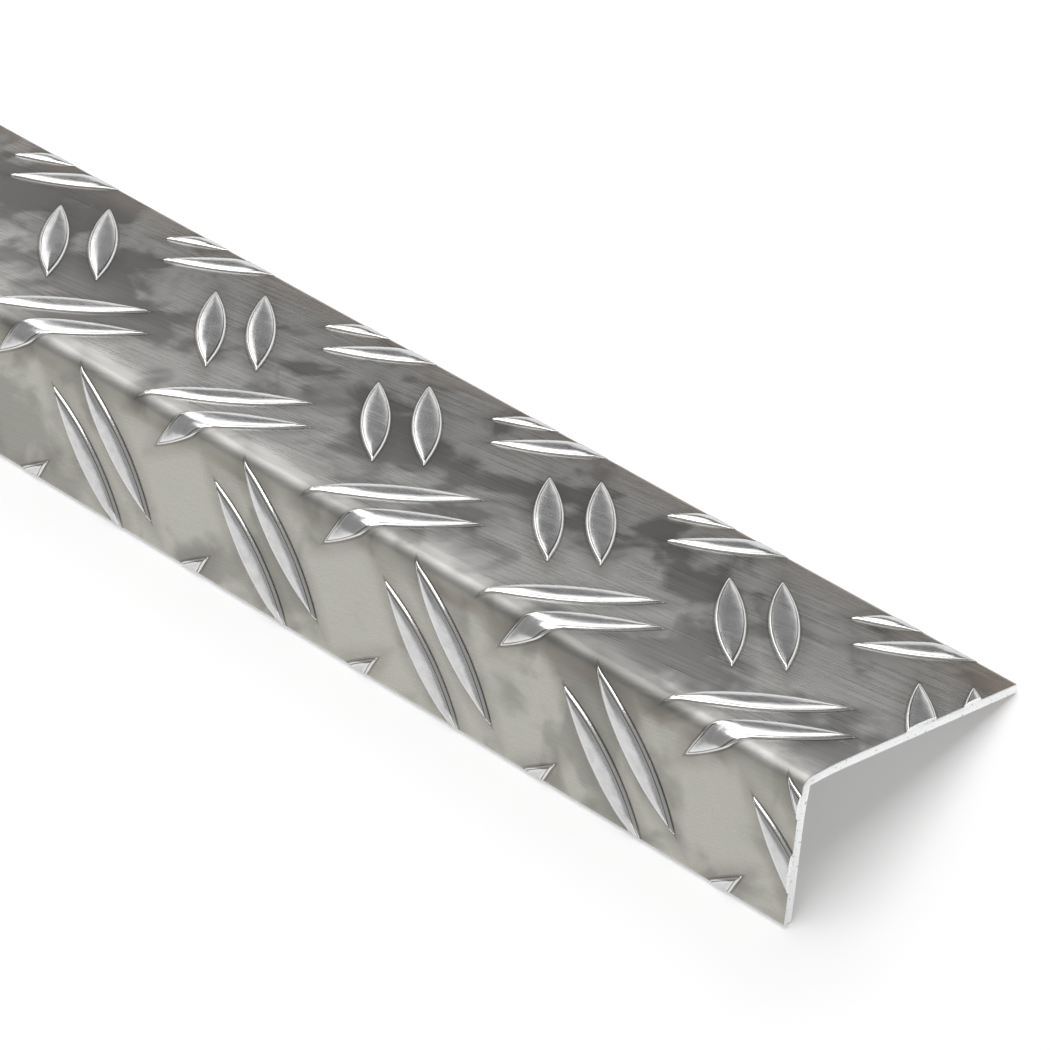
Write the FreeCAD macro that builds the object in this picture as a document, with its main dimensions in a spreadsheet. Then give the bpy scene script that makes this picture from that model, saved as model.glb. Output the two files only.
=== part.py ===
"""Checker plate angle: one length of bent sheet with an unequal L section.

The sheet is folded once, at a right angle, into a wide leg and a narrow leg.
The stock lies with its bend upwards, like a low roof, on the two inner corners
of its free long edges, so neither leg is level.

The section is drawn in the bend's own frame: its origin is the sharp outer
corner that the two outer faces would meet in, the wide leg runs along +Y and
the narrow leg along -Z. The body's placement then tips it on to its edges.
The raised tread bars are relief on the outer faces and aren't part of the solid.

Frame: origin below the middle of the stock, on the floor; +X along the length;
the narrow leg faces -Y and +Z is up. Millimetres.
"""
import FreeCAD, Part
import math
import os
import Sketcher

NODE = "checker_plate_angle"

SIZES = (
    ("stock_length", 1000.0, "length along the bend"),
    ("wide_leg", 43.5, "wide leg, over the outer corner"),
    ("narrow_leg", 23.5, "narrow leg, over the outer corner"),
    ("sheet", 1.5, "thickness of the sheet between its tread bars"),
    ("inner_bend", 0.5, "radius inside the bend"),
)

# The tip that puts both inner edges on the floor, as words for the expressions.
TIP = "atan((Sizes.narrow_leg - Sizes.sheet) / (Sizes.wide_leg - Sizes.sheet))"


def make_sheet(doc):
    """The driving sizes, one named cell each."""
    sheet = doc.addObject("Spreadsheet::Sheet", "Sizes")
    for row, (name, value, meaning) in enumerate(SIZES, start=1):
        sheet.set(f"A{row}", meaning)
        sheet.set(f"B{row}", str(value))
        sheet.setAlias(f"B{row}", name)
    doc.recompute()
    return sheet


def origin_plane(body, role):
    """One of the body's own origin planes, found by its role."""
    for feature in body.Origin.OriginFeatures:
        if feature.Role == role:
            return feature
    raise RuntimeError(f"{body.Label} has no {role}")


def draw_section(sketch, sizes):
    """The L section: six straight sides, and an arc on each side of the bend."""
    wide, narrow = sizes.wide_leg, sizes.narrow_leg
    sheet, inner = sizes.sheet, sizes.inner_bend
    outer = inner + sheet
    straight = {
        "wide_outer": ((outer, 0), (wide, 0)),
        "wide_edge": ((wide, 0), (wide, -sheet)),
        "wide_inner": ((wide, -sheet), (outer, -sheet)),
        "narrow_inner": ((sheet, -outer), (sheet, -narrow)),
        "narrow_edge": ((sheet, -narrow), (0, -narrow)),
        "narrow_outer": ((0, -narrow), (0, -outer)),
    }
    side = {}
    for name, ends in straight.items():
        points = [FreeCAD.Vector(x, y, 0) for x, y in ends]
        side[name] = sketch.addGeometry(Part.LineSegment(*points), False)

    centre = FreeCAD.Vector(outer, -outer, 0)
    normal = FreeCAD.Vector(0, 0, 1)
    for name, radius in (("bend_inner", inner), ("bend_outer", outer)):
        quarter = Part.ArcOfCircle(Part.Circle(centre, normal, radius), math.pi / 2, math.pi)
        side[name] = sketch.addGeometry(quarter, False)

    START, END, CENTRE = 1, 2, 3

    def constrain(kind, *arguments):
        return sketch.addConstraint(Sketcher.Constraint(kind, *arguments))

    def constrain_size(kind, name, formula, *arguments):
        index = constrain(kind, *arguments)
        sketch.renameConstraint(index, name)
        sketch.setExpression(f"Constraints.{name}", formula)

    for first, second in (("wide_outer", "wide_edge"), ("wide_edge", "wide_inner"),
                          ("narrow_inner", "narrow_edge"), ("narrow_edge", "narrow_outer")):
        constrain("Coincident", side[first], END, side[second], START)
    constrain("Tangent", side["bend_outer"], START, side["wide_outer"], START)
    constrain("Tangent", side["bend_outer"], END, side["narrow_outer"], END)
    constrain("Tangent", side["bend_inner"], START, side["wide_inner"], END)
    constrain("Tangent", side["bend_inner"], END, side["narrow_inner"], START)
    constrain("Coincident", side["bend_inner"], CENTRE, side["bend_outer"], CENTRE)

    origin, upright = -1, -2
    for name in ("wide_outer", "wide_inner", "narrow_edge"):
        constrain("Horizontal", side[name])
    for name in ("narrow_outer", "narrow_inner", "wide_edge"):
        constrain("Vertical", side[name])
    constrain("PointOnObject", side["wide_outer"], END, origin)
    constrain("PointOnObject", side["narrow_outer"], START, upright)

    constrain_size("DistanceX", "wide_leg", "Sizes.wide_leg",
                   origin, START, side["wide_outer"], END, wide)
    constrain_size("DistanceY", "narrow_leg", "Sizes.narrow_leg",
                   side["narrow_outer"], START, origin, START, narrow)
    constrain_size("DistanceY", "sheet", "Sizes.sheet",
                   side["wide_edge"], END, side["wide_edge"], START, sheet)
    constrain_size("Radius", "inner_bend", "Sizes.inner_bend",
                   side["bend_inner"], inner)


def make_angle(doc, sizes):
    """The bent sheet: its section, padded both ways along the length."""
    body = doc.addObject("PartDesign::Body", "Angle")
    body.Label = NODE

    sketch = body.newObject("Sketcher::SketchObject", "Section")
    sketch.AttachmentSupport = [(origin_plane(body, "YZ_Plane"), "")]
    sketch.MapMode = "FlatFace"
    draw_section(sketch, sizes)
    doc.recompute()

    pad = body.newObject("PartDesign::Pad", "Stock")
    pad.Profile = sketch
    pad.Midplane = True
    pad.Length = sizes.stock_length
    pad.setExpression("Length", "Sizes.stock_length")

    # Tipped about the bend, then moved so that its box stands on the origin.
    turn = FreeCAD.Rotation(FreeCAD.Vector(-1, 0, 0), 30)
    body.Placement = FreeCAD.Placement(FreeCAD.Vector(), turn)
    body.setExpression("Placement.Rotation.Angle", TIP)
    body.setExpression(
        "Placement.Base.y",
        f"(Sizes.narrow_leg * sin({TIP}) - Sizes.wide_leg * cos({TIP})) / 2")
    body.setExpression(
        "Placement.Base.z",
        f"Sizes.wide_leg * sin({TIP}) + Sizes.sheet * cos({TIP})")
    return body


def check(doc, nodes):
    """Raise on any object that failed, and on a sub-part with no valid solid."""
    for item in doc.Objects:
        if "Invalid" in item.State or "Error" in item.State:
            raise RuntimeError(f"{item.Label} failed to compute: {item.State}")
    for node in nodes:
        if node.Shape.isNull() or not node.Shape.isValid() or not node.Shape.Solids:
            raise RuntimeError(f"{node.Label} has no valid solid")


def main():
    doc = FreeCAD.newDocument("CheckerPlateAngle")
    sizes = make_sheet(doc)
    nodes = [make_angle(doc, sizes)]
    doc.recompute()
    check(doc, nodes)
    os.makedirs("parts", exist_ok=True)
    for node in nodes:
        node.Shape.exportStep(f"parts/{node.Label}.step")


main()
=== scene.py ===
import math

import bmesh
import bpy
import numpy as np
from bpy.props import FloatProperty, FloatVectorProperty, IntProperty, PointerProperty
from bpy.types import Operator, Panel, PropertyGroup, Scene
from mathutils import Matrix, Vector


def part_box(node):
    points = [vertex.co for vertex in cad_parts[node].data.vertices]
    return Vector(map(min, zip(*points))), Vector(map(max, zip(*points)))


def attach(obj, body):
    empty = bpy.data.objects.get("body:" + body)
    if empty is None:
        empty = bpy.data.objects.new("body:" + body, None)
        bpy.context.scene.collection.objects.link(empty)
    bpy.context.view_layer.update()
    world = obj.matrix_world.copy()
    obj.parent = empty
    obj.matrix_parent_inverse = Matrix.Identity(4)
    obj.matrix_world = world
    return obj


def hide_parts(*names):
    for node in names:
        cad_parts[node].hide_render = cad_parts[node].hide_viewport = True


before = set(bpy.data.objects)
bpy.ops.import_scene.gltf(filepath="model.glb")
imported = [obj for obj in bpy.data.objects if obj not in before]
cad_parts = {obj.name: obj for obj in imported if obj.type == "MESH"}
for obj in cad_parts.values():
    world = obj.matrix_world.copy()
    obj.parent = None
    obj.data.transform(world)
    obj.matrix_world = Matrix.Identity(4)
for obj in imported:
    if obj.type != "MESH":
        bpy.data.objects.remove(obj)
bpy.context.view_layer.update()        # one node, checker_plate_angle, on the body "root"

# Checker plate angle: a strip of bright rolled sheet with crossed pairs of raised
# tread bars, folded once into a wide and a narrow leg, and a plain pale stage.
#
# Everything on the strip is first laid out flat, in developed coordinates:
#   along   metres along the strip, 0 in the middle, + towards the front cut end
#   across  metres from the wide leg's free edge, over the fold, down the narrow leg
#   height  metres out of the sheet's outer face, minus its thickness on the inner face
# The function fold then carries all three on to the bent section.

bl_info = {
    "name": "Checker plate angle",
    "version": (1, 0, 0),
    "blender": (4, 5, 0),
    "location": "View3D > Sidebar > Plate angle",
    "description": "Builds a folded checker plate angle with its tread bars and a plain stage",
    "category": "Add Mesh",
}

NODE = "checker_plate_angle"
BODY = "root"
MM = 0.001
END_BEVEL = 0.12 * MM          # rim of the two cut ends
FINE_REACH = 9 * MM            # how far from the fold the sheet's points lie close together
WELD = 1e-6                    # points nearer than this are joined
LOW, HIGH = (np.array(corner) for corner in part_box(NODE))


# ---------------------------------------------------------------- sizes and colours

def size(name, millimetres, words):
    """A length property whose default is given in millimetres."""
    return FloatProperty(name=name, description=words, default=millimetres * MM,
                         subtype="DISTANCE", unit="LENGTH", precision=5)


def share(name, default, words):
    """A property between nought and one."""
    return FloatProperty(name=name, description=words, default=default, min=0, max=1,
                         subtype="FACTOR")


def tint(name, default, words):
    """A linear colour property."""
    return FloatVectorProperty(name=name, description=words, default=default, size=3,
                               min=0, max=1, subtype="COLOR")


class PlateSection(PropertyGroup):
    """The bent sheet."""
    wide_leg: size("Wide leg", 43.5, "Wide leg, over the outer corner")
    narrow_leg: size("Narrow leg", 23.5, "Narrow leg, over the outer corner")
    sheet: size("Sheet", 1.5, "Thickness of the sheet between its bars")
    inner_bend: size("Inner bend", 0.5, "Radius inside the fold")
    neutral: share("Neutral line", 0.44, "Depth of the unstretched layer, as a share of the sheet")
    edge_round: size("Edge rounding", 0.14, "How far the sheared edges are rounded")
    ripple: size("Ripple", 0.20, "How far the fold stands out where stiff bars cross it")
    ripple_reach: size("Ripple reach", 4.2, "How far the ripple reaches from the fold")
    droop: size("Droop", 0.22, "How far both legs curve in towards the fold")
    droop_reach: size("Droop reach", 3.2, "How far that curve reaches from the fold")


class PlateBars(PropertyGroup):
    """The raised tread bars."""
    pitch: size("Pitch", 36.85, "Distance between like pairs along the strip")
    length: size("Length", 25.9, "Length of one bar")
    width: size("Width", 4.55, "Width of one bar at its foot")
    edge: size("Edge height", 0.24, "Height of a bar's steep edge")
    edge_run: size("Edge run", 0.32, "How wide that edge is, seen from above")
    crown: size("Crown height", 0.37, "How far a bar's rounded top rises above its edge")
    crown_run: size("Crown run", 2.2, "Width of the rounding, from the edge to the level top")
    crown_power: FloatProperty(name="Crown power", description="How late the crown falls away",
                               default=2.6, min=2)
    sheared: size("Sheared reach", 1.8, "How far from a free edge the shears have flattened a bar")
    gap: size("Pair gap", 7.6, "Centre to centre distance of the two bars of a pair")
    first_row: size("First row", 17.72, "From the wide leg's free edge to the first whole row")
    first_pair: size("First pair", 33.38, "From the front cut end to the first whole pair of that row")
    stations: IntProperty(name="Stations", description="Cross sections along one bar", default=27, min=7)
    pressed: share("Pressed flat", 0.35, "How much the fold's press lowers a bar that crosses it")


class PlateFinish(PropertyGroup):
    """The colours and the shine of the metal."""
    # Dark and light cloud: the wide leg's random clouds. The blend between them also carries painted light,
    # lighter towards the fold and the front end, and the dark one also paints shade along the fold.
    dark: tint("Dark cloud", (0.19, 0.185, 0.18), "Wide leg, in its darker clouds")
    light: tint("Light cloud", (0.74, 0.73, 0.71), "Wide leg, in its lighter clouds")
    # Narrow leg: a warmer grey set apart from the wide leg, a painted reflection of the surroundings.
    narrow: tint("Narrow leg", (0.435, 0.427, 0.385), "Warm grey of the narrow leg")
    bar: tint("Bar top", (0.68, 0.68, 0.68), "Tops of the tread bars")
    # Bright wall: the bars' walls are given a lighter colour than their tops, a painted highlight. Their
    # polish is the lower roughness.
    bright: tint("Bright wall", (0.74, 0.74, 0.73), "Polished walls of the tread bars")
    cut: tint("Cut face", (0.94, 0.95, 0.95), "Sheared faces")
    # Grime: dirt for the specks on the cut faces. The same colour also paints the shade around and along
    # the bars' feet and a dark reflection line on the bars.
    grime_and_shade: tint("Grime", (0.10, 0.085, 0.07), "Dirt along the foot of the bars and on the cuts")
    warm: tint("Heat tint", (0.44, 0.37, 0.31), "Brownish film near the edges")
    roughness: share("Roughness", 0.27, "Roughness of the rolled face")
    bar_roughness: share("Bar roughness", 0.22, "Roughness of the bars' tops")
    polish: share("Polish", 0.18, "Roughness of the polished bar walls")


class PlateStage(PropertyGroup):
    """The floor, the light and the camera."""
    azimuth: FloatProperty(name="Azimuth", description="Camera's turn about the upright axis",
                           default=math.radians(60.003), subtype="ANGLE", unit="ROTATION")
    elevation: FloatProperty(name="Elevation", description="Camera's height above the floor, as an angle",
                             default=math.radians(45.602), subtype="ANGLE", unit="ROTATION")
    roll: FloatProperty(name="Roll", description="Camera's turn about its own line of sight",
                        default=math.radians(-21.542), subtype="ANGLE", unit="ROTATION")
    distance: size("Distance", 868.33, "From the camera to the point that it aims at")
    lens: FloatProperty(name="Lens", description="Focal length in millimetres", default=206.966)
    aim_along: size("Aim along", 73.53, "Aimed point, back from the front cut end")
    aim_across: size("Aim across", 18.97, "Aimed point, from the fold up the wide leg")
    floor: tint("Floor", (0.70, 0.70, 0.70), "Colour of the floor")
    floor_glow: FloatProperty(name="Floor glow", description="How much the floor is lifted towards white",
                              default=0.30)
    softbox: FloatProperty(name="Softbox", description="Power of the overhead softbox", default=20.0,
                           unit="POWER")
    rear: FloatProperty(name="Rear softbox", description="Power of the softbox behind the wide leg",
                        default=8.0, unit="POWER")
    side: FloatProperty(name="Side softbox", description="Power of the low softbox beside the far end",
                        default=2.2, unit="POWER")
    room: FloatProperty(name="Room", description="Brightness of the room around the stage", default=0.36)


# ---------------------------------------------------------------- flat strip and fold

class Strip:
    """The sizes that the pieces share, worked out from the properties and the frame."""

    def __init__(self, section, bars):
        self.section, self.bars = section, bars
        self.wide, self.narrow, self.sheet = section.wide_leg, section.narrow_leg, section.sheet
        self.inner = section.inner_bend
        self.outer = self.inner + self.sheet
        self.flat_wide = self.wide - self.outer
        self.arc = math.pi / 2 * (self.inner + section.neutral * self.sheet)
        self.total = self.flat_wide + self.arc + self.narrow - self.outer
        self.middle = self.flat_wide + self.arc / 2
        self.half = (HIGH[0] - LOW[0]) / 2
        self.tilt = math.atan2(self.narrow - self.sheet, self.wide - self.sheet)
        self.corner_y = LOW[1] + self.narrow * math.sin(self.tilt)
        self.corner_z = LOW[2] + self.wide * math.sin(self.tilt) + self.sheet * math.cos(self.tilt)

    def place(self, x, y, z):
        """From the section's own frame, whose origin is the fold's sharp outer corner, with y
        up the wide leg and z out of it, to the stored pose: a turn by the tilt, then a move."""
        cos, sin = math.cos(self.tilt), math.sin(self.tilt)
        return np.stack([x, y * cos + z * sin + self.corner_y, z * cos - y * sin + self.corner_z], axis=-1)


def ripple(strip, along, across):
    """How far the sheet stands out near the fold: a cosine of the pitch along the strip, high
    where a bar crosses the fold, under a bell across it, with slower waves that vary it, less
    a second bell, by which both legs curve in towards the fold."""
    pitch, reach = strip.bars.pitch, strip.section.ripple_reach
    crossing = strip.half - strip.bars.first_pair - pitch / 2
    phase = 2 * math.pi * (along - crossing) / pitch
    wave = 0.6 * np.cos(phase + 0.5) + 0.3 * np.cos(2 * phase - 0.8) + 0.25 * np.sin(2.63 * phase)
    bell = np.exp(-((across - strip.middle) / reach) ** 2)
    droop = np.exp(-((across - strip.middle) / strip.section.droop_reach) ** 2)
    return strip.section.ripple * wave * bell - strip.section.droop * droop


def fold(strip, flat):
    """Developed points carried on to the bent section. On each leg, across becomes a straight
    run and height its normal; between them the fold is a quarter turn about its centre, and
    a point keeps its height as an addition to the outer radius."""
    along, across, height = flat[..., 0], flat[..., 1], flat[..., 2]
    height = height + ripple(strip, along, across)
    turn = np.clip((across - strip.flat_wide) / strip.arc, 0, 1) * math.pi / 2
    before = np.maximum(strip.flat_wide - across, 0)
    after = np.maximum(across - strip.flat_wide - strip.arc, 0)
    radius = strip.outer + height
    y = strip.outer - radius * np.sin(turn) + before
    z = radius * np.cos(turn) - strip.outer - after
    return strip.place(along, y, z)


# ---------------------------------------------------------------- mesh helpers

def grid_faces(rows, columns, start=0):
    """Quads of a rows by columns grid of points that begins at index start."""
    index = start + np.arange(rows * columns).reshape(rows, columns)
    quads = [index[:-1, :-1], index[1:, :-1], index[1:, 1:], index[:-1, 1:]]
    return np.stack(quads, axis=-1).reshape(-1, 4)


def new_mesh(name, points, faces):
    """A mesh from an array of points and an array of quads."""
    mesh = bpy.data.meshes.new(name)
    mesh.from_pydata(points, [], faces)
    return mesh


def close_up(mesh, distance):
    """Joins the points that meet, drops the faces that this empties, and turns the rest outwards."""
    work = bmesh.new()
    work.from_mesh(mesh)
    bmesh.ops.remove_doubles(work, verts=work.verts, dist=distance)
    bmesh.ops.dissolve_degenerate(work, edges=work.edges, dist=distance)
    bmesh.ops.recalc_face_normals(work, faces=work.faces)
    work.to_mesh(mesh)
    work.free()


def point_array(mesh):
    """The mesh's points as an array."""
    values = np.empty(len(mesh.vertices) * 3)
    mesh.vertices.foreach_get("co", values)
    return values.reshape(-1, 3)


def fold_mesh(strip, mesh):
    """Keeps the flat layout as the attribute "developed" and folds the points."""
    flat = point_array(mesh)
    kept = mesh.attributes.new("developed", "FLOAT_VECTOR", "POINT")
    kept.data.foreach_set("vector", flat.ravel())
    mesh.vertices.foreach_set("co", fold(strip, flat).ravel())
    mesh.update()


def finish_piece(name, mesh, material, sharp):
    """Links the mesh as a smooth shaded piece, with edges over the angle sharp kept crisp."""
    mesh.polygons.foreach_set("use_smooth", np.ones(len(mesh.polygons), dtype=bool))
    mesh.set_sharp_from_angle(angle=sharp)
    mesh.materials.append(material)
    piece = bpy.data.objects.new(name, mesh)
    bpy.context.scene.collection.objects.link(piece)
    return piece


# ---------------------------------------------------------------- the bent sheet

def across_places(strip):
    """Places across the strip where its sheet has points: close over the fold, where it
    ripples, and wider towards the free edges."""
    fine = np.linspace(strip.flat_wide, strip.flat_wide + strip.arc, 9)
    near_wide = strip.flat_wide - FINE_REACH * np.linspace(1, 0, 11)[:-1] ** 1.3
    near_narrow = strip.flat_wide + strip.arc + FINE_REACH * np.linspace(0, 1, 11)[1:] ** 1.3
    far_wide = np.linspace(0.5 * MM, near_wide[0], 9)[:-1]
    far_narrow = np.linspace(near_narrow[-1], strip.total - 0.5 * MM, 5)[1:]
    return np.concatenate([far_wide, near_wide, fine, near_narrow, far_narrow])


def sheet_profile(strip):
    """Outer and inner lines of the flat section, point for point: two straight lines, with
    each free edge rounded by three points at every corner."""
    r = strip.section.edge_round
    middle = across_places(strip)
    rounding = np.array([[0.0, r], [0.3 * r, 0.3 * r], [r, 0.0]])
    first = np.concatenate([rounding[:, 0], middle, strip.total - rounding[::-1, 0]])
    depth = np.concatenate([rounding[:, 1], np.zeros(len(middle)), rounding[::-1, 1]])
    outer = np.stack([first, -depth], axis=-1)
    inner = np.stack([first, depth - strip.sheet], axis=-1)
    return outer, inner


def sheet_stations(strip, step):
    """Places along the strip, evenly stepped, with one more close to each cut end."""
    count = int(round(2 * strip.half / step))
    inside = np.linspace(-strip.half + END_BEVEL, strip.half - END_BEVEL, count)
    return np.concatenate([[-strip.half], inside, [strip.half]])


def flat_sheet(strip):
    """The strip's closed skin, laid flat: the section's outer and inner lines carried along the
    stations, and each cut end closed by a grid whose rows run from the outer line to the
    inner one. The last section at each end is drawn in by a hair, so that its rim is
    bevelled, and the cut faces are roughened by a sum of sines."""
    outer, inner = sheet_profile(strip)
    loop = np.concatenate([outer, inner[::-1], outer[:1]])
    stations = sheet_stations(strip, 1.35 * MM)
    tube = np.empty((len(stations), len(loop), 3))
    tube[..., 0] = stations[:, None]
    tube[..., 1:] = loop[None]
    for end in (0, -1):
        tube[end, :, 1] = np.clip(tube[end, :, 1], END_BEVEL, strip.total - END_BEVEL)
        tube[end, :, 2] = np.clip(tube[end, :, 2], END_BEVEL - strip.sheet, -END_BEVEL)
    points = [tube.reshape(-1, 3)]
    faces = [grid_faces(*tube.shape[:2])]
    rows, columns = 6, len(outer)
    for end in (0, -1):
        start = sum(len(block) for block in points)
        top = tube[end, :columns]
        bottom = tube[end, columns:2 * columns][::-1]
        blend = np.linspace(0, 1, rows)[:, None, None]
        cap = top[None] * (1 - blend) + bottom[None] * blend
        rough = np.sin(cap[..., 1] * 2100) * np.sin(cap[..., 2] * 3900 + cap[..., 1] * 800)
        inward = -np.sign(cap[0, 0, 0]) * 0.03 * MM
        cap[1:-1, 1:-1, 0] += inward * (1 + rough[1:-1, 1:-1])
        points.append(cap.reshape(-1, 3))
        faces.append(grid_faces(rows, columns, start))
    mesh = new_mesh("sheet", np.concatenate(points), np.concatenate(faces))
    close_up(mesh, WELD)
    return mesh


# ---------------------------------------------------------------- the tread bars

def bar_places(strip):
    """Centres and directions of the bars. The pairs sit on a square lattice turned by 45
    degrees: rows lie half a pitch apart, and every other row is shifted by half a pitch and
    has its bars crossed the other way. Returns along, across and the sign of the slope."""
    bars = strip.bars
    rows = np.arange(-1, 4)
    count = int(2 * strip.half / bars.pitch) + 3
    row, column = np.meshgrid(rows, np.arange(-1, count), indexing="ij")
    odd = row % 2
    across = bars.first_row + row * bars.pitch / 2
    along = strip.half - bars.first_pair - column * bars.pitch + odd * bars.pitch / 2
    slope = 1.0 - 2.0 * odd
    side = np.array([-0.5, 0.5])[:, None, None] * bars.gap / math.sqrt(2)
    along = along[None] - side * slope[None]
    across = across[None] + side * np.ones_like(slope)[None]
    slope = np.broadcast_to(slope, along.shape)
    reach = bars.length / 2
    kept = (np.abs(along) < strip.half + reach) & (across > -reach) & (across < strip.total + reach)
    return along[kept], across[kept], slope[kept]


def half_width(bars, station):
    """A bar's outline at a station from its middle: two arcs of a circle that meet in points,
    so the half width is the circle's height at that station less its height at the tips."""
    tip, middle = bars.length / 2, bars.width / 2
    radius = (tip ** 2 + middle ** 2) / (2 * middle)
    return np.sqrt(np.maximum(radius ** 2 - station ** 2, 0)) - (radius - middle)


def bar_height(bars, inside):
    """Height at a distance inside the outline: a steep edge, whose foot and shoulder are both
    rounded by a smooth step, under a crown that rises as a power curve to the level top."""
    step = np.clip(inside / bars.edge_run, 0, 1)
    rise = np.clip(inside / bars.crown_run, 0, 1)
    return bars.edge * step ** 2 * (3 - 2 * step) + bars.crown * (1 - (1 - rise) ** bars.crown_power)


def bar_shape(bars):
    """One bar about its own middle: a grid of stations along it by columns that lie at fixed
    distances inside the outline, or, near the tips, at shares of the half width. Each point's
    height follows from its distance inside the outline, and a last row, sunk into the sheet,
    closes it below. Returns points (stations, columns, 3)."""
    turn = np.linspace(-math.pi / 2, math.pi / 2, bars.stations)
    station = bars.length / 2 * (0.55 * np.sin(turn) + 0.45 * turn / (math.pi / 2))
    inset = np.concatenate([bars.edge_run * np.array([0, 0.4, 0.8, 1.15]),
                            bars.crown_run * np.array([0.34, 0.55, 0.77])])
    least = np.array([1.0, 0.85, 0.70, 0.55, 0.40, 0.25, 0.12])
    width = half_width(bars, station)[:, None]
    side = np.maximum(width - inset, width * least)
    side = np.concatenate([-side, np.zeros_like(width), side[:, ::-1]], axis=1)
    ridge = 0.12 * MM
    soft = np.sqrt(side ** 2 + ridge ** 2) - ridge
    height = bar_height(bars, np.maximum(width - soft, 0))
    height[:, [0, -1]] = 0
    sunk = -0.28 * MM
    top = np.stack([np.broadcast_to(station[:, None], side.shape), side, height], axis=-1)
    foot_left, foot_right = top[:, :1].copy(), top[:, -1:].copy()
    foot_left[..., 2] = foot_right[..., 2] = sunk
    return np.concatenate([foot_left, top, foot_right, foot_left], axis=1)


def flat_bars(strip):
    """All bars laid flat: the one shape turned by 45 degrees either way and moved to each
    place, with its height varied a little from bar to bar, then trimmed to the strip."""
    bars = strip.bars
    along, across, slope = bar_places(strip)
    shape = bar_shape(bars)
    chance = np.random.default_rng(7)
    worn = 1 - 0.10 * chance.random(len(along))
    lean = chance.normal(0, 0.05, len(along))
    half = math.sqrt(0.5)
    s, t, h = shape[..., 0][None], shape[..., 1][None], shape[..., 2][None]
    slope = slope[:, None, None]
    points = np.empty((len(along),) + shape.shape)
    points[..., 0] = along[:, None, None] + half * (s - slope * t)
    points[..., 1] = across[:, None, None] + half * (slope * s + t)
    dents = 0.02 * MM * np.sin(points[..., 0] * 2900) * np.sin(points[..., 1] * 2300 + 1)
    top = np.clip(h / (bars.edge + bars.crown), 0, 1)
    raised = h * worn[:, None, None] * (1 + lean[:, None, None] * s / bars.length * 2)
    points[..., 2] = np.where(h > 0, raised + dents * top ** 2, h)
    pressed = bars.pressed * np.exp(-((points[..., 1] - strip.middle) / (2.4 * MM)) ** 2)
    from_edge = np.minimum(points[..., 1], strip.total - points[..., 1])
    shear = np.clip(from_edge / bars.sheared, 0, 1)
    whole = 0.08 + 0.92 * shear ** 2 * (3 - 2 * shear)
    points[..., 2] *= np.where(h > 0, (1 - pressed) * whole, 1)
    rows, columns = shape.shape[:2]
    one = grid_faces(rows, columns)
    starts = np.arange(len(along)) * rows * columns
    faces = (one[None] + starts[:, None, None]).reshape(-1, 4)
    mesh = new_mesh("bars", points.reshape(-1, 3), faces)
    close_up(mesh, WELD)
    trim(strip, mesh)
    return mesh


def trim(strip, mesh):
    """Cuts off what reaches past the strip's free edges and ends, and caps each cut."""
    hair = 0.02 * MM
    planes = (((0, hair, 0), (0, -1, 0)), ((0, strip.total - hair, 0), (0, 1, 0)),
              ((strip.half - hair, 0, 0), (1, 0, 0)), ((hair - strip.half, 0, 0), (-1, 0, 0)))
    work = bmesh.new()
    work.from_mesh(mesh)
    for point, outward in planes:
        everything = work.verts[:] + work.edges[:] + work.faces[:]
        bmesh.ops.bisect_plane(work, geom=everything, dist=1e-7, plane_co=point,
                               plane_no=outward, clear_outer=True)
        rim = [edge for edge in work.edges if edge.is_boundary]
        bmesh.ops.holes_fill(work, edges=rim, sides=0)
    bmesh.ops.recalc_face_normals(work, faces=work.faces)
    work.to_mesh(mesh)
    work.free()


# ---------------------------------------------------------------- shader maths

class Wire:
    """A number carried by a shader socket, on which sums can be written."""

    def __init__(self, nodes, socket):
        self.nodes, self.socket = nodes, socket

    def math(self, operation, *others):
        return self.nodes.add("ShaderNodeMath", {"operation": operation}, self, *others)

    def __add__(self, other):
        return self.math("ADD", other)

    def __radd__(self, other):
        return self.math("ADD", other)

    def __sub__(self, other):
        return self.math("SUBTRACT", other)

    def __rsub__(self, other):
        return self.nodes.add("ShaderNodeMath", {"operation": "SUBTRACT"}, other, self)

    def __mul__(self, other):
        return self.math("MULTIPLY", other)

    def __rmul__(self, other):
        return self.math("MULTIPLY", other)

    def __abs__(self):
        return self.math("ABSOLUTE")

    def least(self, other):
        return self.math("MINIMUM", other)

    def most(self, other):
        return self.math("MAXIMUM", other)

    def remainder(self, other):
        return self.math("FLOORED_MODULO", other)

    def root(self):
        return self.math("SQRT")

    def between(self, low, high):
        """0 below low, 1 above high and a smooth step between them; low may be the larger."""
        settings = {"interpolation_type": "SMOOTHSTEP"}
        if low > high:
            return 1 - self.between(high, low)
        return self.nodes.add("ShaderNodeMapRange", settings, self, low, high, 0.0, 1.0)


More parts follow.
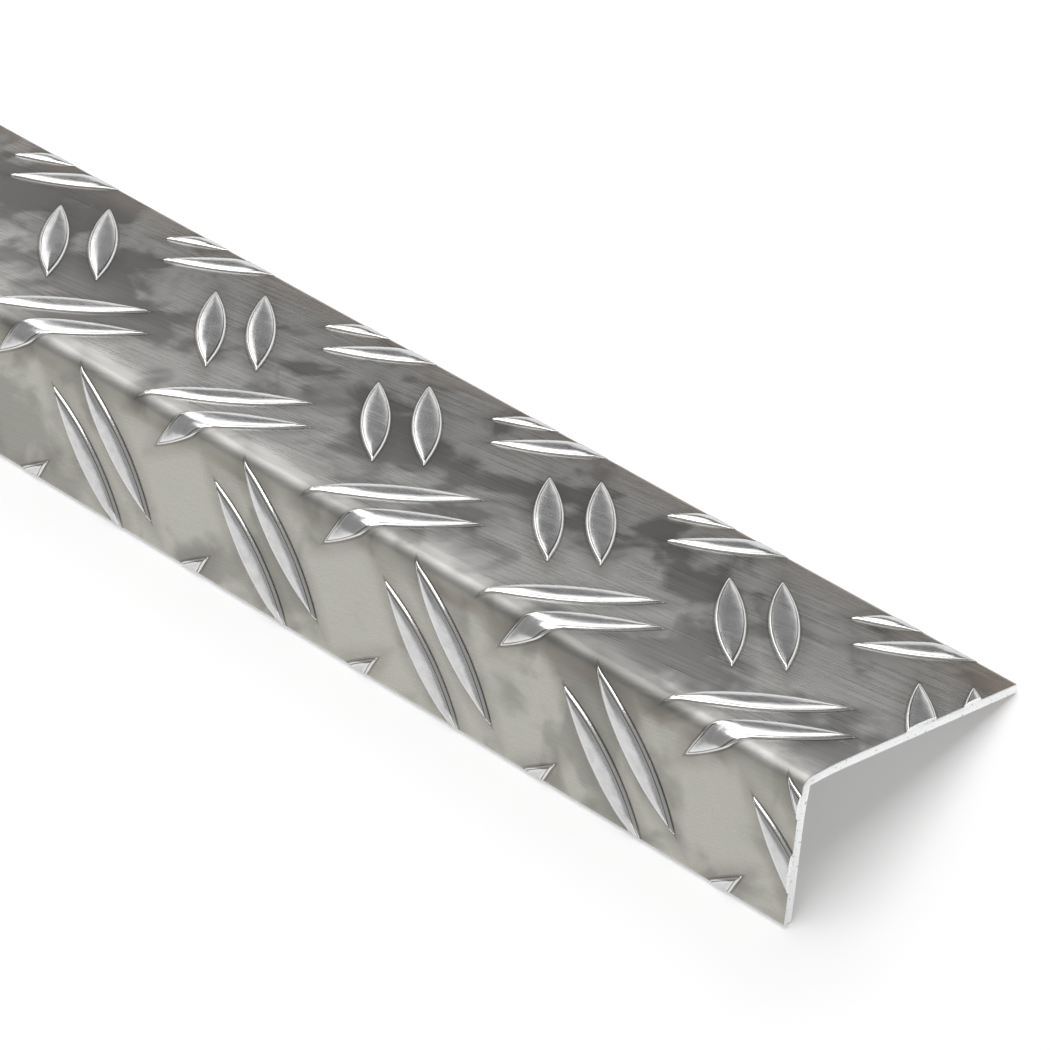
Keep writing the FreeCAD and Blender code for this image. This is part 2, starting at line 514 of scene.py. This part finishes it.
class Nodes:
    """A node tree and the one way in which its nodes are made."""

    def __init__(self, tree):
        self.tree = tree
        tree.nodes.clear()

    def add(self, kind, settings=None, *values, output=0, **named):
        """Makes a node of the type kind, applies its settings, then puts a value or a link on
        each input, in order or by name. Returns the wire of the output asked for."""
        node = self.tree.nodes.new(kind)
        for name, value in (settings or {}).items():
            setattr(node, name, value)
        inputs = list(zip(node.inputs, values))
        inputs += [(node.inputs[name.replace("_", " ")], value) for name, value in named.items()]
        for socket, value in inputs:
            if isinstance(value, Wire):
                self.tree.links.new(value.socket, socket)
            else:
                socket.default_value = value
        return Wire(self, node.outputs[output] if node.outputs else None)

    def vector(self, x, y, z):
        return self.add("ShaderNodeCombineXYZ", None, x, y, z)

    def noise(self, place, scale, detail=2.0, distortion=0.0):
        """Soft noise from 0 to 1 at a place."""
        return self.add("ShaderNodeTexNoise", {"noise_dimensions": "3D"}, Vector=place, Scale=scale,
                        Detail=detail, Distortion=distortion)

    def blend(self, factor, first, second, mode="MIX"):
        """A colour mixed from first to second by the factor."""
        node = self.tree.nodes.new("ShaderNodeMix")
        node.data_type, node.blend_type = "RGBA", mode
        for socket, value in ((node.inputs["Factor"], factor), (node.inputs[6], first),
                              (node.inputs[7], second)):
            if isinstance(value, Wire):
                self.tree.links.new(value.socket, socket)
            else:
                socket.default_value = value
        return Wire(self, node.outputs[2])


def rgba(colour, gain=1.0):
    """A colour property as four numbers."""
    return tuple(min(1.0, part * gain) for part in colour) + (1.0,)


def developed_wires(nodes):
    """The flat layout, in millimetres: the place as a vector, and its three parts."""
    place = nodes.add("ShaderNodeAttribute", {"attribute_name": "developed"}, output=1)
    scaled = nodes.add("ShaderNodeVectorMath", {"operation": "SCALE"}, Vector=place, Scale=1 / MM)
    parts = nodes.tree.nodes.new("ShaderNodeSeparateXYZ")
    nodes.tree.links.new(scaled.socket, parts.inputs[0])
    return scaled, [Wire(nodes, output) for output in parts.outputs]


def outside_bars(nodes, strip, along, across):
    """Distance from the nearest bar's outline, in millimetres, negative inside it. The pair
    lattice is folded into one cell by remainders; in the cell a bar is the overlap of two
    circles, so the distance is the larger of the distances to them."""
    bars = strip.bars
    pitch, gap = bars.pitch / MM, bars.gap / MM
    tip, middle = bars.length / 2 / MM, bars.width / 2 / MM
    radius = (tip ** 2 + middle ** 2) / (2 * middle)
    half = math.sqrt(0.5)
    nearest = None
    for odd, slope in ((0, 1), (1, -1)):
        shift = odd * pitch / 2
        u = (along - ((strip.half - bars.first_pair) / MM + shift - pitch / 2)).remainder(pitch) - pitch / 2
        v = (across - (bars.first_row / MM + shift - pitch / 2)).remainder(pitch) - pitch / 2
        s = (u + slope * v) * half
        t = abs((v - slope * u) * half)
        offset = abs(t - gap / 2) + (radius - middle)
        distance = (s * s + offset * offset).root() - radius
        nearest = distance if nearest is None else nearest.least(distance)
    return nearest


def brushed(nodes, place, along, across):
    """Fine rolling streaks and slow clouds, each from 0 to 1. The streaks are noise on a place
    squeezed along the strip, so that they run almost along it."""
    turned = across + along * 0.16
    streaks = nodes.noise(nodes.vector(along * 0.05, turned * 3.2, 0.0), 1.0, 4.0)
    fine = nodes.noise(nodes.vector(along * 0.22, turned * 11.0, 3.0), 1.0, 2.0)
    clouds = nodes.noise(place, 0.034, 3.0, 0.8) * 0.6 + nodes.noise(place, 0.11, 5.0, 0.6) * 0.4
    return streaks, fine, clouds


def plate_material(strip, finish):
    """Rolled aluminium, for the sheet and its bars alike."""
    material = bpy.data.materials.new("rolled_aluminium")
    material.use_nodes = True
    nodes = Nodes(material.node_tree)
    place, (along, across, height) = developed_wires(nodes)
    streaks, fine, clouds = brushed(nodes, place, along, across)
    outside = outside_bars(nodes, strip, along, across)

    middle = strip.middle / MM
    total = strip.total / MM
    half = strip.half / MM
    on_narrow = across.between(middle - 0.8, middle + 1.2)
    raised = height.between(0.02, 0.06)
    inner = height.between(-0.9, -1.3)

    patches = clouds.between(0.44, 0.54) * 0.60 + streaks * 0.40 - 0.12
    # Painted light: on top of its random clouds, the wide leg is made lighter towards the fold and towards
    # the front cut end.
    painted_light_to_fold = across.between(2.0, middle - 6.0)
    painted_light_to_front = (along - half).between(-110, -20)
    wide_clouds_and_painted_light = (patches + painted_light_to_fold * 0.42 + painted_light_to_front * 0.12 - 0.27).most(0.0).least(1.0)
    wide = nodes.blend(wide_clouds_and_painted_light, rgba(finish.dark), rgba(finish.light))
    patches = patches.most(0.0).least(1.0)
    # Painted reflection: the narrow leg gets its own warm grey in place of the wide leg's colours, varied
    # by the same random clouds and streaks.
    narrow_leg_painted_tone = nodes.blend(patches, rgba(finish.narrow, 0.74), rgba(finish.narrow, 1.30))
    rolled = nodes.blend(on_narrow, wide, narrow_leg_painted_tone)

    edge = across.between(7.0, 0.0) + (along - (half - 22)).between(0.0, 22.0) * across.between(14.0, 2.0)
    film = (edge * nodes.noise(place, 0.16, 3.0)).least(1.0) * 0.8
    rolled = nodes.blend(film, rolled, rgba(finish.warm))

    stained = nodes.noise(place, 0.07, 2.0).between(0.4, 0.6)
    under_fold = abs(across - middle - 2.4).between(1.5, 0.3) * stained
    rolled = nodes.blend(under_fold * 0.35, rolled, rgba(finish.warm, 0.75))
    # Painted shade: a band on the wide leg's side of the fold is darkened towards the dark cloud colour.
    painted_shade_on_fold = abs(across - middle + 1.2).between(2.6, 0.6)
    rolled = nodes.blend(painted_shade_on_fold * 0.35, rolled, rgba(finish.dark))

    # Painted shade with some dirt: the sheet is darkened, unevenly, within about 3 mm of each bar's
    # outline.
    shade_and_grime_halo = outside.between(3.2, 0.0) * 0.28 * (0.4 + nodes.noise(place, 0.3, 2.0))
    rolled = nodes.blend(shade_and_grime_halo, rolled, rgba(finish.grime_and_shade))

    # Painted highlight: the band of each bar's wall gets the lighter wall colour. The same mask lowers the
    # roughness for the polish.
    wall = (outside + 0.75).between(-0.25, 0.25) * raised
    # Painted reflection: a thin, uneven dark line on each bar, 0.4 mm inside its outline, in the grime
    # colour.
    shoulder_dark_reflection = abs(outside + 0.40).between(0.12, 0.03) * raised * (0.5 + nodes.noise(place, 0.25, 2.0))
    tops = nodes.blend(nodes.noise(place, 0.55, 4.0, 0.5), rgba(finish.bar, 0.72), rgba(finish.bar, 1.12))
    bars = nodes.blend(wall, tops, rgba(finish.bright))
    colour = nodes.blend(raised, rolled, bars)
    # Painted shade with some dirt: a thin dark line on the sheet just outside each bar's foot. Together
    # with the dark line on the bars, it is blended in the grime colour.
    foot = (outside - 0.16).between(0.22, 0.0) * outside.between(-0.05, 0.05) * (1 - inner)
    colour = nodes.blend((shoulder_dark_reflection * 0.8 + foot * 0.4).least(1.0), colour, rgba(finish.grime_and_shade))

    cut_end = abs(along).between(half - 0.10, half - 0.04)
    cut_edge = (abs(across - total / 2)).between(total / 2 - 0.10, total / 2 - 0.04)
    cut = cut_end.most(cut_edge)
    specks = nodes.noise(place, 2.0, 4.0).between(0.62, 0.70)
    sheared = nodes.blend(specks * 0.75, rgba(finish.cut), rgba(finish.grime_and_shade, 2.0))
    colour = nodes.blend(cut, colour, sheared)

    crease_band = abs(across - middle).between(3.4, 0.8) * (1 - raised) * (1 - inner)
    roughness = finish.roughness - 0.10 * clouds + 0.14 * streaks + crease_band * 0.27
    roughness = roughness + raised * (finish.bar_roughness - finish.roughness)
    roughness = roughness + (wall * (finish.polish - finish.bar_roughness) + cut * 0.04)

    bump_height = fine * 0.0022 + streaks * 0.004 + nodes.noise(place, 0.9, 3.0) * 0.008
    bump_height = bump_height + cut * nodes.noise(place, 3.5, 3.0) * 0.12
    bump = nodes.add("ShaderNodeBump", None, Strength=1.0, Distance=MM, Height=bump_height)
    shader = nodes.add("ShaderNodeBsdfPrincipled", None, Base_Color=colour, Metallic=1.0,
                       Roughness=roughness, Normal=bump)
    nodes.add("ShaderNodeOutputMaterial", None, Surface=shader)
    return material


def shared_material(strip):
    """The one metal of the part, made when the first piece asks for it."""
    found = bpy.data.materials.get("rolled_aluminium")
    return found or plate_material(strip, bpy.context.scene.plate_finish)


# ---------------------------------------------------------------- stage

def background_rays(nodes):
    """One for the rays that show the background: those of the camera, of a mirror and of glass."""
    path = nodes.tree.nodes.new("ShaderNodeLightPath")
    names = ("Is Camera Ray", "Is Glossy Ray", "Is Transmission Ray")
    camera, glossy, glass = (Wire(nodes, path.outputs[name]) for name in names)
    return (camera + glossy + glass).least(1.0)


def floor_material(stage):
    """Plain matt floor, with a faint glow that takes its lit parts up to white."""
    material = bpy.data.materials.new("floor")
    material.use_nodes = True
    nodes = Nodes(material.node_tree)
    matt = nodes.add("ShaderNodeBsdfDiffuse", None, rgba(stage.floor))
    glow = nodes.add("ShaderNodeEmission", None, (1, 1, 1, 1), background_rays(nodes) * stage.floor_glow)
    nodes.add("ShaderNodeOutputMaterial", None, Surface=nodes.add("ShaderNodeAddShader", None, matt, glow))
    return material


def make_floor(stage):
    """A large round floor just under the stock."""
    across = np.linspace(0, 2 * math.pi, 97)[:-1]
    rim = np.stack([np.cos(across), np.sin(across), np.zeros_like(across)], axis=-1) * 30.0
    rim[:, 2] = LOW[2]
    mesh = bpy.data.meshes.new("floor")
    mesh.from_pydata(rim, [], [list(range(len(rim)))])
    mesh.materials.append(floor_material(stage))
    floor = bpy.data.objects.new("floor", mesh)
    bpy.context.scene.collection.objects.link(floor)


def make_world(stage):
    """A plain room: white to the camera, and otherwise a soft grey that is darker behind the
    wide leg than in front of the narrow one."""
    world = bpy.data.worlds.new("room")
    world.use_nodes = True
    bpy.context.scene.world = world
    nodes = Nodes(world.node_tree)
    parts = nodes.tree.nodes.new("ShaderNodeSeparateXYZ")
    direction = nodes.add("ShaderNodeTexCoord")
    nodes.tree.links.new(direction.socket, parts.inputs[0])
    y = Wire(nodes, parts.outputs[1])
    strength = stage.room * (1 - 0.65 * y.between(-0.2, 0.8))
    seen = nodes.add("ShaderNodeLightPath")
    strength = strength + seen * (1 - strength)
    nodes.add("ShaderNodeOutputWorld", None,
              nodes.add("ShaderNodeBackground", None, (1, 1, 1, 1), strength))


def make_softbox(name, place, aim, width, depth, power):
    """A rectangular lamp that the camera doesn't see."""
    lamp = bpy.data.lights.new(name, "AREA")
    lamp.shape = "RECTANGLE"
    lamp.size, lamp.size_y = width, depth
    lamp.energy = power
    holder = bpy.data.objects.new(name, lamp)
    holder.location = place
    holder.rotation_euler = (Vector(aim) - Vector(place)).to_track_quat("-Z", "Y").to_euler()
    holder.visible_camera = False
    bpy.context.scene.collection.objects.link(holder)


def make_camera(strip, stage):
    """A long lens that looks at the front end from above, turned about its line of sight."""
    aim = Vector(strip.place(np.array(strip.half - stage.aim_along), np.array(stage.aim_across),
                             np.array(0.0)))
    cos, sin = math.cos(stage.elevation), math.sin(stage.elevation)
    back = Vector((math.sin(stage.azimuth) * cos, -math.cos(stage.azimuth) * cos, sin))
    camera = bpy.data.cameras.new("camera")
    camera.sensor_width, camera.lens = 36.0, stage.lens
    camera.clip_start, camera.clip_end = 0.01, 200.0
    holder = bpy.data.objects.new("camera", camera)
    turn = back.to_track_quat("Z", "Y").to_matrix().to_4x4() @ Matrix.Rotation(stage.roll, 4, "Z")
    holder.matrix_world = Matrix.Translation(aim + back * stage.distance) @ turn
    bpy.context.scene.collection.objects.link(holder)
    bpy.context.scene.camera = holder


# ---------------------------------------------------------------- operators and panel

def current_strip():
    scene = bpy.context.scene
    return Strip(scene.plate_section, scene.plate_bars)


class PLATE_OT_sheet(Operator):
    """Builds the bent sheet"""
    bl_idname = "plate.sheet"
    bl_label = "Bent sheet"

    def execute(self, context):
        strip = current_strip()
        mesh = flat_sheet(strip)
        fold_mesh(strip, mesh)
        piece = finish_piece("bent_sheet", mesh, shared_material(strip), math.radians(35))
        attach(piece, BODY)
        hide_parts(NODE)
        return {"FINISHED"}


class PLATE_OT_bars(Operator):
    """Builds the raised tread bars"""
    bl_idname = "plate.bars"
    bl_label = "Tread bars"

    def execute(self, context):
        strip = current_strip()
        mesh = flat_bars(strip)
        fold_mesh(strip, mesh)
        piece = finish_piece("tread_bars", mesh, shared_material(strip), math.radians(50))
        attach(piece, BODY)
        return {"FINISHED"}


class PLATE_OT_stage(Operator):
    """Builds the floor, the lights and the camera"""
    bl_idname = "plate.stage"
    bl_label = "Stage"

    def execute(self, context):
        stage = context.scene.plate_stage
        make_floor(stage)
        make_world(stage)
        make_softbox("softbox", (0.25, 0.25, 1.6), (0.2, 0, 0), 1.5, 1.1, stage.softbox)
        make_softbox("rear_softbox", (-0.29, 1.09, 0.95), (0.38, 0, 0), 1.4, 0.8, stage.rear)
        make_softbox("side_softbox", (-0.85, 0.82, 0.50), (0.40, 0, 0), 0.5, 0.7, stage.side)
        make_camera(current_strip(), stage)
        context.scene.view_settings.view_transform = "Standard"
        return {"FINISHED"}


class PLATE_PT_panel(Panel):
    """The plate angle's sizes and its builders"""
    bl_idname = "PLATE_PT_panel"
    bl_label = "Plate angle"
    bl_space_type = "VIEW_3D"
    bl_region_type = "UI"
    bl_category = "Plate angle"

    def draw(self, context):
        layout = self.layout
        for name, group in GROUPS.items():
            box = layout.box()
            values = getattr(context.scene, name)
            for key in group.__annotations__:
                box.prop(values, key)
        for operator in (PLATE_OT_sheet, PLATE_OT_bars, PLATE_OT_stage):
            layout.operator(operator.bl_idname)


GROUPS = {
    "plate_section": PlateSection,
    "plate_bars": PlateBars,
    "plate_finish": PlateFinish,
    "plate_stage": PlateStage,
}
CLASSES = (*GROUPS.values(), PLATE_OT_sheet, PLATE_OT_bars, PLATE_OT_stage, PLATE_PT_panel)


def register():
    for item in CLASSES:
        bpy.utils.register_class(item)
    for name, group in GROUPS.items():
        setattr(Scene, name, PointerProperty(type=group))


def unregister():
    for name in GROUPS:
        delattr(Scene, name)
    for item in reversed(CLASSES):
        bpy.utils.unregister_class(item)


def main():
    register()
    bpy.ops.plate.stage()
    bpy.ops.plate.sheet()
    bpy.ops.plate.bars()


if __name__ == "__main__":
    main()
